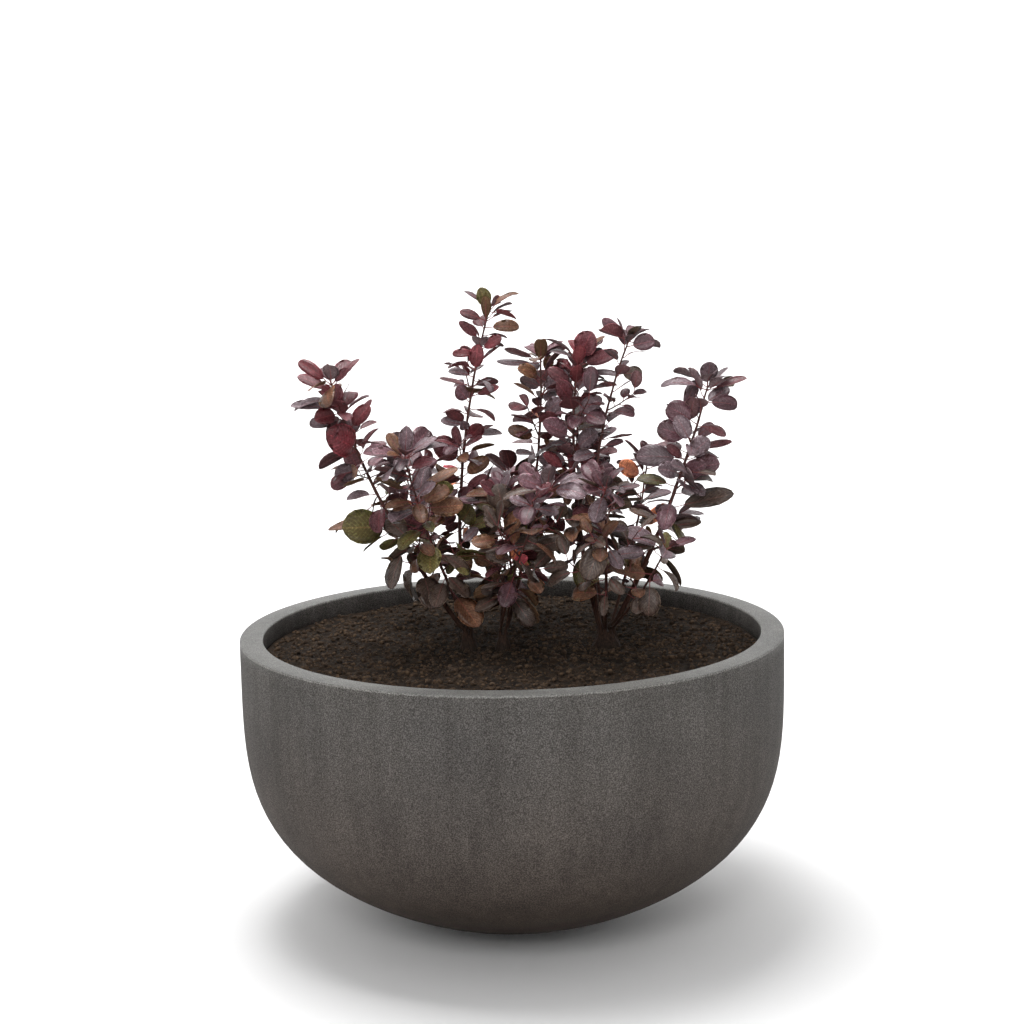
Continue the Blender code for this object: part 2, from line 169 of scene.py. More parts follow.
def feed(finish, value, socket):
    """Set a socket to a number or a colour, or join another socket to it."""
    if isinstance(value, float):
        socket.default_value = value
    elif isinstance(value, tuple):
        socket.default_value = (*value, 1.0)
    else:
        finish.join(value, socket)


def speckle(finish, scale, detail=3.0, stretch=None):
    """Noise at a scale in the piece's own space, stretched along one way where asked."""
    source = finish.place
    if stretch:
        mapping = finish.add("ShaderNodeMapping", Scale=stretch)
        finish.join(source, mapping.inputs["Vector"])
        source = mapping.outputs["Vector"]
    node = finish.add("ShaderNodeTexNoise", Scale=scale, Detail=detail, Roughness=0.6)
    finish.join(source, node.inputs["Vector"])
    return node.outputs["Fac"]


def ramp(finish, source, stops):
    """A colour ramp with the stops given as (position, colour)."""
    node = finish.add("ShaderNodeValToRGB")
    while len(node.color_ramp.elements) < len(stops):
        node.color_ramp.elements.new(0.5)
    for element, (position, colour) in zip(node.color_ramp.elements, stops):
        element.position = position
        element.color = (*colour, 1.0)
    finish.join(source, node.inputs["Fac"])
    return node.outputs["Color"]


def multiply(finish, base, tones, strength=1.0):
    """Multiply one colour by another, at a strength."""
    node = finish.add("ShaderNodeMix", data_type="RGBA", blend_type="MULTIPLY")
    for value, number in ((strength, 0), (base, 6), (tones, 7)):
        feed(finish, value, node.inputs[number])
    return node.outputs[2]


def calculate(finish, operation, *values):
    """The result of a maths node on numbers and sockets."""
    node = finish.add("ShaderNodeMath", operation=operation)
    for value, socket in zip(values, node.inputs):
        feed(finish, value, socket)
    return node.outputs[0]


def height_share(finish, low, high):
    """How far up between two heights a spot is, from 0 to 1."""
    spot = finish.add("ShaderNodeSeparateXYZ")
    finish.join(finish.place, spot.inputs["Vector"])
    share = finish.add("ShaderNodeMapRange")
    share.inputs["From Min"].default_value = low
    share.inputs["From Max"].default_value = high
    finish.join(spot.outputs["Z"], share.inputs["Value"])
    return share.outputs["Result"]


def set_skin(finish, colour, roughness, specular):
    """Give the shader its colour, its roughness and its specular level."""
    names = "Base Color", "Roughness", "Specular IOR Level"
    for name, value in zip(names, (colour, roughness, specular)):
        feed(finish, value, finish.shader.inputs[name])


def relief(finish, *parts):
    """Chain bumps of (height socket, strength, distance) into the shader's normal."""
    below = None
    for height, strength, distance in parts:
        node = finish.add("ShaderNodeBump", Strength=strength, Distance=distance)
        finish.join(height, node.inputs["Height"])
        if below:
            finish.join(below, node.inputs["Normal"])
        below = node.outputs["Normal"]
    finish.join(below, finish.shader.inputs["Normal"])


def give_finish(piece, *finishes):
    """Fill a piece's material slots with finishes, in order."""
    piece.data.materials.clear()
    for finish in finishes:
        piece.data.materials.append(finish.material)


cement = new_finish("cast_cement")
up_the_bowl = height_share(cement, 0.0, BOWL_HEIGHT)
# Painted shade: the cement is painted darker the lower it lies, down to the foot. Painted highlight: a
# thin pale band round the rounded outer edge of the rim, and the ledge painted a little lighter for its
# sheen.
painted_shade_and_rim_highlight = ramp(cement, up_the_bowl, [
    (0.0, (0.018, 0.011, 0.007)), (0.22, (0.035, 0.025, 0.019)), (0.55, (0.065, 0.056, 0.050)),
    (0.88, (0.082, 0.076, 0.071)), (0.9935, (0.080, 0.075, 0.070)), (0.9955, (0.180, 0.175, 0.165)),
    (0.9985, (0.180, 0.175, 0.165)), (1.0, (0.090, 0.089, 0.083))])
cloud = ramp(cement, speckle(cement, 5.5, 4.0), [
    (0.30, (0.84, 0.84, 0.85)), (0.72, (1.14, 1.13, 1.12))])
streak = ramp(cement, speckle(cement, 1.0, 3.0, (34.0, 34.0, 1.6)), [
    (0.36, (0.76, 0.75, 0.74)), (0.58, (1.06, 1.06, 1.06))])
grain = ramp(cement, speckle(cement, 570.0, 2.0), [
    (0.38, (0.42, 0.41, 0.40)), (0.50, (0.95, 0.95, 0.95)), (0.62, (2.10, 2.10, 2.10))])
gloss = ramp(cement, up_the_bowl, [(0.96, (0.78, 0.78, 0.78)), (1.0, (0.45, 0.45, 0.45))])
colour = multiply(cement, multiply(cement, painted_shade_and_rim_highlight, cloud), streak, 0.60)
set_skin(cement, multiply(cement, colour, grain, 0.78), gloss, 0.16)
relief(cement, (speckle(cement, 620.0, 2.0), 0.35, 0.0006), (speckle(cement, 22.0, 3.0), 0.10, 0.004))
give_finish(bowl, cement)
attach(bowl, "root")
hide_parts("pot")


# The potting soil
# Dark moist peat and bark fines that fill the bowl to just below its rim, raked level by hand.
# Loose crumbs lie on it, pressed a little way in.
SOIL_TOP = BOWL_HEIGHT - 0.029
SOIL_GAP = 0.0006
SOIL_EDGE = BOWL_RADIUS - RIM_WIDTH - SOIL_GAP
SOIL_FOOT = FOOT_RADIUS * 0.8
SOIL_HEIGHTS = (0.04, 0.08, 0.13, 0.19, 0.26, 0.34, 0.42)
SOIL_EDGE_FOOT = lip_foot - 0.004
SOIL_FACETS = 440
SOIL_RINGS = 120
SOIL_SWELL = (9.0, 0.0060)
SOIL_CLODS = ((55.0, 0.0060), (140.0, 0.0042))
SOIL_SINK = 0.003
SOIL_SINK_WIDTH = 0.03
CRUMBS = 8500
CRUMB_SIZES = (0.0012, 0.0062)
CRUMB_MARGIN = 0.008
CRUMB_LIFT = 0.15

soil = start_round("soil_fill", SOIL_FACETS, SOIL_FOOT, BOWL_FLOOR + SOIL_GAP)
rings = [(inside_radius(z) - 2 * SOIL_GAP, z) for z in SOIL_HEIGHTS]
rings.append((SOIL_EDGE, SOIL_EDGE_FOOT))
rings.append((SOIL_EDGE, SOIL_TOP))
rings.extend((SOIL_EDGE * (1 - i / SOIL_RINGS), SOIL_TOP) for i in range(1, SOIL_RINGS))
pull_rings(rings, SOIL_FOOT, BOWL_FLOOR + SOIL_GAP)
close_up(soil, 60)


def soil_height(x, y):
    """Height of the soil's crumbly surface; it sinks a little where it meets the bowl."""
    rise = SOIL_SWELL[1] * noise.noise(Vector((x * SOIL_SWELL[0], y * SOIL_SWELL[0], 0.0)))
    for scale, size in SOIL_CLODS:
        rise += size * (abs(noise.noise(Vector((x * scale, y * scale, scale)))) - 0.25)
    edge = min(1.0, (SOIL_EDGE - math.hypot(x, y)) / SOIL_SINK_WIDTH)
    return SOIL_TOP + rise * (0.35 + 0.65 * edge) - SOIL_SINK * (1 - edge)


for vertex in soil.data.vertices:
    if vertex.co.z > SOIL_TOP - 0.0001:
        vertex.co.z = soil_height(vertex.co.x, vertex.co.y)

peat = new_finish("potting_soil")
lumps = ramp(peat, speckle(peat, 60.0, 6.0), [
    (0.30, (0.006, 0.004, 0.003)), (0.52, (0.017, 0.011, 0.007)), (0.74, (0.040, 0.025, 0.015))])
grit = ramp(peat, speckle(peat, 420.0, 3.0), [
    (0.36, (0.55, 0.55, 0.55)), (0.55, (1.0, 1.0, 1.0)), (0.72, (1.9, 1.75, 1.6))])
set_skin(peat, multiply(peat, lumps, grit, 0.9), 0.90, 0.12)
relief(peat, (speckle(peat, 420.0, 4.0), 0.6, 0.0009), (speckle(peat, 120.0, 4.0), 0.6, 0.0022))
give_finish(soil, peat)
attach(soil, "root")
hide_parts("soil")


def in_the_scene(name, data):
    """An object that holds a mesh, a curve, a light or a camera, put in the scene."""
    body = bpy.data.objects.new(name, data)
    bpy.context.scene.collection.objects.link(body)
    return body


def mesh_from_arrays(name, corners, loops, sizes):
    """A mesh from an array of corners, an array of face corners and the number of each face's."""
    mesh = bpy.data.meshes.new(name)
    mesh.vertices.add(len(corners))
    mesh.vertices.foreach_set("co", np.asarray(corners, np.float32).ravel())
    mesh.loops.add(len(loops))
    mesh.loops.foreach_set("vertex_index", np.asarray(loops, np.int32))
    mesh.polygons.add(len(sizes))
    starts = np.concatenate(([0], np.cumsum(sizes)[:-1])).astype(np.int32)
    mesh.polygons.foreach_set("loop_start", starts)
    mesh.update(calc_edges=True)
    return in_the_scene(name, mesh)


chance = random.Random("crumbs on the soil")
bpy.ops.object.select_all(action="DESELECT")
bpy.ops.mesh.primitive_ico_sphere_add(subdivisions=1, radius=1.0)
crumb = bpy.context.object
crumb_corners = np.array([vertex.co for vertex in crumb.data.vertices])
crumb_faces = np.array([list(face.vertices) for face in crumb.data.polygons])
corners_each = len(crumb_corners)
bpy.data.objects.remove(crumb, do_unlink=True)
corners = []
loops = []
for i in range(CRUMBS):
    bearing = chance.uniform(0, 2 * math.pi)
    reach = (SOIL_EDGE - CRUMB_MARGIN) * math.sqrt(chance.random())
    x, y = reach * math.cos(bearing), reach * math.sin(bearing)
    size = CRUMB_SIZES[0] + (CRUMB_SIZES[1] - CRUMB_SIZES[0]) * chance.random() ** 3
    turn = Matrix.Rotation(chance.uniform(0, 6.28), 3, "Z")
    turn = turn @ Matrix.Rotation(chance.uniform(0, 6.28), 3, "X")
    stretch = np.array([chance.uniform(0.7, 1.5), chance.uniform(0.6, 1.1), chance.uniform(0.5, 0.9)])
    dents = np.array([[chance.uniform(0.78, 1.15)] for _ in range(corners_each)])
    lump = (crumb_corners * dents * stretch * size) @ np.array(turn).T
    lump = lump + np.array([x, y, soil_height(x, y) + size * CRUMB_LIFT])
    loops.append(crumb_faces + corners_each * i)
    corners.append(lump)
loops = np.concatenate(loops)
three_sides = np.full(len(loops), 3)
crumbs = mesh_from_arrays("soil_crumbs", np.concatenate(corners), loops.ravel(), three_sides)
bark_fines = new_finish("soil_crumb")
tone = ramp(bark_fines, speckle(bark_fines, 130.0, 1.0), [
    (0.34, (0.024, 0.016, 0.011)), (0.52, (0.040, 0.026, 0.017)), (0.70, (0.080, 0.052, 0.032))])
set_skin(bark_fines, tone, 0.90, 0.12)
relief(bark_fines, (speckle(bark_fines, 600.0, 3.0), 0.5, 0.0006))
give_finish(crumbs, bark_fines)
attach(crumbs, "root")


# The stems' paths
# The bush is one clump: three short woody bases stand on the soil, and fifteen young stems rise
# from them. Each leans its own way, bows a little and thins towards its tip.
BASE_HEIGHT = 0.024
STEM_RING = 0.70
GAP = 0.0003
TAPER = 1.1
TWIG_TIP_RADIUS = 0.0014
BASES = {
    "left": (-0.072, 0.000, 0.0095),
    "middle": (-0.015, -0.010, 0.0090),
    "right": (0.157, 0.002, 0.0150),
}

# Each stem has its base, its tip, its bow sideways, its radius at the foot, the bare share of it, the
# leaves along it, in its tuft and its side twigs, its longest blade and its low and high tints.
Stem = namedtuple("Stem", "base tip bow thick bare along tuft twigs blade low high")
STEMS = {
    "left_long": Stem("left", (-0.283, -0.060, 0.912), (-0.022, 0.0), 0.0044, 0.24,
                      36, 5, 6, 0.058, "bronze", "wine"),
    "left_rosette": Stem("left", (-0.165, -0.125, 0.797), (-0.008, 0.0), 0.0028, 0.20,
                         22, 11, 6, 0.063, "olive", "mixed"),
    "tall": Stem("left", (-0.026, 0.030, 1.020), (-0.026, 0.0), 0.0034, 0.24,
                 44, 3, 3, 0.051, "bronze", "wine"),
    "left_back": Stem("left", (-0.190, 0.200, 0.755), (-0.010, 0.020), 0.0027, 0.30,
                      22, 10, 6, 0.060, "bronze", "mixed"),
    "middle_low": Stem("middle", (-0.014, -0.070, 0.722), (0.012, 0.0), 0.0021, 0.22,
                       17, 9, 4, 0.056, "bronze", "mixed"),
    "middle_front": Stem("middle", (0.063, -0.140, 0.745), (-0.010, -0.010), 0.0023, 0.22,
                         18, 10, 5, 0.060, "umber", "dusky"),
    "centre_tall": Stem("middle", (0.056, 0.060, 0.935), (0.018, 0.0), 0.0033, 0.28,
                        36, 9, 5, 0.055, "umber", "mixed"),
    "middle_back": Stem("middle", (0.005, 0.225, 0.715), (0.0, 0.025), 0.0026, 0.32,
                        20, 10, 6, 0.060, "umber", "plum"),
    "right_long": Stem("right", (0.328, 0.000, 0.890), (0.014, 0.0), 0.0049, 0.32,
                       24, 7, 3, 0.060, "umber", "dusky"),
    "centre_thick": Stem("right", (0.117, 0.020, 0.940), (-0.022, 0.0), 0.0046, 0.26,
                         38, 9, 6, 0.058, "umber", "wine"),
    "centre_right": Stem("right", (0.200, -0.010, 0.970), (-0.034, 0.0), 0.0035, 0.30,
                         30, 9, 3, 0.048, "umber", "plum"),
    "right_front": Stem("right", (0.150, -0.180, 0.750), (0.0, -0.035), 0.0030, 0.26,
                        18, 11, 4, 0.047, "umber", "dusky"),
    "right_low": Stem("right", (0.250, -0.110, 0.640), (0.005, -0.010), 0.0024, 0.34,
                      6, 5, 1, 0.056, "umber", "dusky"),
    "right_back": Stem("right", (0.240, 0.205, 0.735), (0.010, 0.020), 0.0030, 0.32,
                       14, 9, 3, 0.058, "umber", "plum"),
    "back_centre": Stem("right", (0.110, 0.240, 0.880), (0.0, 0.025), 0.0030, 0.34,
                        24, 10, 6, 0.060, "umber", "plum"),
}


def stem_heading(name):
    """Bearing in which a stem leans as it leaves its base."""
    stem = STEMS[name]
    x, y, _ = BASES[stem.base]
    return math.atan2(stem.tip[1] - y + 4.0 * stem.bow[1], stem.tip[0] - x + 4.0 * stem.bow[0])


def stem_foot(name):
    """Where a stem leaves its base: the stems stand evenly round it, each near its own bearing."""
    side = STEMS[name].base
    x, y, radius = BASES[side]
    sharing = sorted((n for n in STEMS if STEMS[n].base == side), key=stem_heading)
    step = 2.0 * math.pi / len(sharing)
    turn = sum(stem_heading(n) - i * step for i, n in enumerate(sharing)) / len(sharing)
    angle = turn + sharing.index(name) * step
    ring = radius * STEM_RING
    foot_height = SOIL_TOP + BASE_HEIGHT + 2 * GAP
    return Vector((x + ring * math.cos(angle), y + ring * math.sin(angle), foot_height))


def stem_point(name, t):
    """A point on a stem, from its foot at 0 to its tip at 1."""
    bow = Vector((*STEMS[name].bow, 0.0))
    return stem_foot(name).lerp(Vector(STEMS[name].tip), t) + bow * (4.0 * t * (1.0 - t))


def stem_axis(name, t):
    """Direction of a stem at a point on it."""
    return (stem_point(name, t + 0.01) - stem_point(name, t - 0.01)).normalized()


def stem_radius(name, t):
    """Radius of a stem, which tapers from its foot to its tip."""
    thick = STEMS[name].thick
    return thick + (TWIG_TIP_RADIUS - thick) * t ** TAPER


def spread(start, end, count):
    """Evenly spaced values from start to end."""
    return [start + (end - start) * i / (count - 1) for i in range(count)]


# The woody bases and boughs
# Each base is a swollen crown of old wood with lobes where the stems spring from it. Its bark is
# brown and finely ridged, and turns smooth and reddish up the bare length of each stem.
BARK_GRAIN = 0.0008
BARK_RIDGES = (260.0, 0.00045)
BARK_KNOBS = (90.0, 0.0010)
OLD_BARK_HEIGHT = 0.12
OLD_BARK_RIDGES = 0.05
ROOT_SINK = 0.004
ROOT_REACH = 1.25
FOOT_FLARE = (2.1, 1.45, 1.08, 1.0)
CROWN_HEIGHTS = (-0.006, 0.002, 0.010, 0.017, BASE_HEIGHT - 0.002)
CROWN_FLARE = (1.72, 1.52, 1.20, 0.98, 0.70)
BOUGH_WANDER = 0.0007
WANDER_SEED = 1796090095


def round_limbs(name, runs, sides_level):
    """Round limbs along runs of (points, radii), swept as curves and made one mesh."""
    curve = bpy.data.curves.new(name, "CURVE")
    curve.dimensions = "3D"
    curve.bevel_depth = 1.0
    curve.bevel_resolution = sides_level
    curve.use_fill_caps = True
    for points, radii in runs:
        spline = curve.splines.new("POLY")
        spline.points.add(len(points) - 1)
        for point, place, radius in zip(spline.points, points, radii):
            point.co = (*place, 1.0)
            point.radius = radius
    guide = in_the_scene(name, curve)
    bpy.ops.object.select_all(action="DESELECT")
    guide.select_set(True)
    bpy.context.view_layer.objects.active = guide
    bpy.ops.object.convert(target="MESH")
    limbs = bpy.context.object
    bpy.ops.object.mode_set(mode="EDIT")
    return close_up(limbs, 60)


bark = new_finish("bark")
wood = ramp(bark, height_share(bark, SOIL_TOP, SOIL_TOP + OLD_BARK_HEIGHT), [
    (0.0, (0.022, 0.014, 0.010)), (0.30, (0.042, 0.022, 0.015)), (1.0, (0.085, 0.032, 0.024))])
flecks = ramp(bark, speckle(bark, 1.0, 4.0, (420.0, 420.0, 90.0)), [
    (0.34, (0.50, 0.47, 0.45)), (0.50, (0.95, 0.95, 0.95)), (0.68, (1.6, 1.5, 1.4))])
set_skin(bark, multiply(bark, wood, flecks, 0.9), 0.72, 0.14)
relief(bark, (speckle(bark, 1.0, 4.0, (700.0, 700.0, 130.0)), 0.5, 0.0006))

# The seed makes the boughs here and the twigs further on wander the same way in each run.
noise.seed_set(WANDER_SEED)
for side, (x, y, top_radius) in BASES.items():
    sharing = [name for name in STEMS if STEMS[name].base == side]
    runs = []
    for name in sharing:
        foot = stem_foot(name)
        deep = SOIL_TOP - ROOT_SINK
        root = Vector((x, y, deep)).lerp(Vector((foot.x, foot.y, deep)), ROOT_REACH)
        points = [root, root.lerp(foot, 0.5), foot, foot + Vector((0, 0, 0.005))]
        radii = [stem_radius(name, 0) * k for k in FOOT_FLARE]
        for t in spread(0.03, STEMS[name].bare + 0.004, 12):
            wander = noise.noise_vector(Vector((t * 30, foot.x * 90, foot.y * 90))) * BOUGH_WANDER
            points.append(stem_point(name, t) + wander)
            uneven = 0.07 * noise.noise(Vector((t * 60, foot.x * 50, 3)))
            radii.append(stem_radius(name, t) * (1 + uneven))
        runs.append((points, radii))
    runs.append(([Vector((x, y, SOIL_TOP + z)) for z in CROWN_HEIGHTS],
                 [top_radius * k for k in CROWN_FLARE]))
    wood_piece = round_limbs("bark_" + side, runs, 4)
    remesh = wood_piece.modifiers.new("grown together", "REMESH")
    remesh.mode = "VOXEL"
    remesh.voxel_size = BARK_GRAIN
    bpy.ops.object.modifier_apply(modifier=remesh.name)
    scale, depth = BARK_RIDGES
    skin = [(vertex.co.copy(), vertex.normal.copy()) for vertex in wood_piece.data.vertices]
    raised = []
    for spot, outward in skin:
        ridge = noise.noise(Vector((spot.x * scale * 2, spot.y * scale * 2, spot.z * scale * 0.4)))
        knob = noise.noise(spot * BARK_KNOBS[0])
        low = max(0.0, 1 - (spot.z - SOIL_TOP) / OLD_BARK_RIDGES)
        raised.extend(spot + outward * (ridge * depth * (0.35 + low) + knob * BARK_KNOBS[1] * low))
    wood_piece.data.vertices.foreach_set("co", raised)
    wood_piece.data.update()
    bpy.ops.object.shade_smooth()
    give_finish(wood_piece, bark)
    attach(wood_piece, "root")
    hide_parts("stem_base_" + side, *["bough_" + name for name in sharing])


# The foliage
# Each stem carries round leaves on thin pink stalks, turned round it one after another, with a
# tuft at its tip and short leafy side twigs. Young leaves are wine red, old ones dusky purple.
Leaf = namedtuple("Leaf", "root axis bearing lift blade roll out tint width")
STEM_WANDER = 0.0012
STEM_NODES = (1.12, 0.96)
LEAF_OUT = 0.6
SIDE_TWIG_RADIUS = 0.0014
SIDE_TWIG_LENGTH = 0.075
SIDE_TWIG_SHRINK = 0.45
SIDE_LENGTHS = (0.55, 1.15)
SIDE_MARGINS = (0.35, 0.25)
SIDE_TURN = 206.0
SIDE_LIFT = 38.0
SIDE_RISE = 0.18
SIDE_LEAVES = 6
SIDE_LEAFY = (0.30, 0.98)
LEAF_TURN = 137.5
TURN_SPREAD = 20.0
LIFTS = (-30.0, 46.0)
LIFT_SPREAD = 20.0
ROLL_SPREAD = 28.0
FIRST_LEAF = 0.7
TUFT_PLACE = 0.99
TUFT_LIFTS = (8.0, 60.0)
TUFT_SPREAD = 10.0
TWIG_LIFTS = (10.0, 46.0)
TIP_SHRINK = 0.22
ALONG_BLADE = (0.72, 1.10)
TUFT_BLADE = (0.52, 1.00)
TWIG_BLADE = (0.55, 0.95)
TWIG_BLADE_SHRINK = 0.25
MAIN_TINT_SHARE = 0.6
LOW_TINTS_END = (0.15, 0.30)
LEAF_WIDTHS = (0.42, 0.80)
STALK_SHARE = 0.32
STALK_RADIUS = 0.00075
STALK_TAPER = (1.25, 1.0, 1.0, 0.95, 0.8, 0.6, 0.35)
NEAR = 0.09
TRY_TURNS = (0.0, 30.0, -30.0, 60.0, -60.0, 95.0, -95.0)
LOWEST_LEAF = SOIL_TOP + 0.040

# Each tint has the linear base colour of a leaf's upper face, then of its underside.
TINTS = {
    "plum": ((0.096, 0.042, 0.051), (0.108, 0.054, 0.056)),
    # The dusky tint is the dusky purple of old leaves, with a grey cast that is partly painted sheen.
    "dusky": ((0.132, 0.088, 0.098), (0.120, 0.080, 0.082)),
    "wine": ((0.096, 0.027, 0.032), (0.104, 0.034, 0.037)),
    # The crimson tint is partly the red of young leaves and partly painted light shining through leaves
    # lit from behind.
    "crimson": ((0.118, 0.022, 0.027), (0.120, 0.028, 0.031)),
    "umber": ((0.062, 0.038, 0.029), (0.074, 0.049, 0.035)),
    "bronze": ((0.110, 0.046, 0.024), (0.104, 0.056, 0.030)),
    "olive": ((0.110, 0.086, 0.030), (0.116, 0.100, 0.036)),
    "rose": ((0.600, 0.085, 0.110), (0.600, 0.100, 0.105)),
    "ember": ((0.600, 0.190, 0.090), (0.560, 0.180, 0.090)),
}
SPRAYS = {
    "wine": (("wine", 7), ("crimson", 3), ("plum", 4), ("dusky", 3), ("bronze", 1.5)),
    "plum": (("plum", 6), ("dusky", 5), ("wine", 3), ("umber", 1)),
    "dusky": (("dusky", 6), ("plum", 6), ("umber", 1.5), ("wine", 1)),
    "umber": (("umber", 7), ("dusky", 1), ("bronze", 3), ("olive", 1.5), ("plum", 2), ("ember", 0.3)),
    "mixed": (("dusky", 3), ("wine", 3), ("plum", 3), ("bronze", 2), ("ember", 0.15)),
    "bronze": (("bronze", 5), ("umber", 5), ("dusky", 0.6), ("wine", 3), ("olive", 2), ("rose", 0.3),
               ("ember", 0.3)),
    "olive": (("olive", 4), ("bronze", 4), ("umber", 5), ("wine", 2), ("dusky", 0.6), ("ember", 0.5)),
}


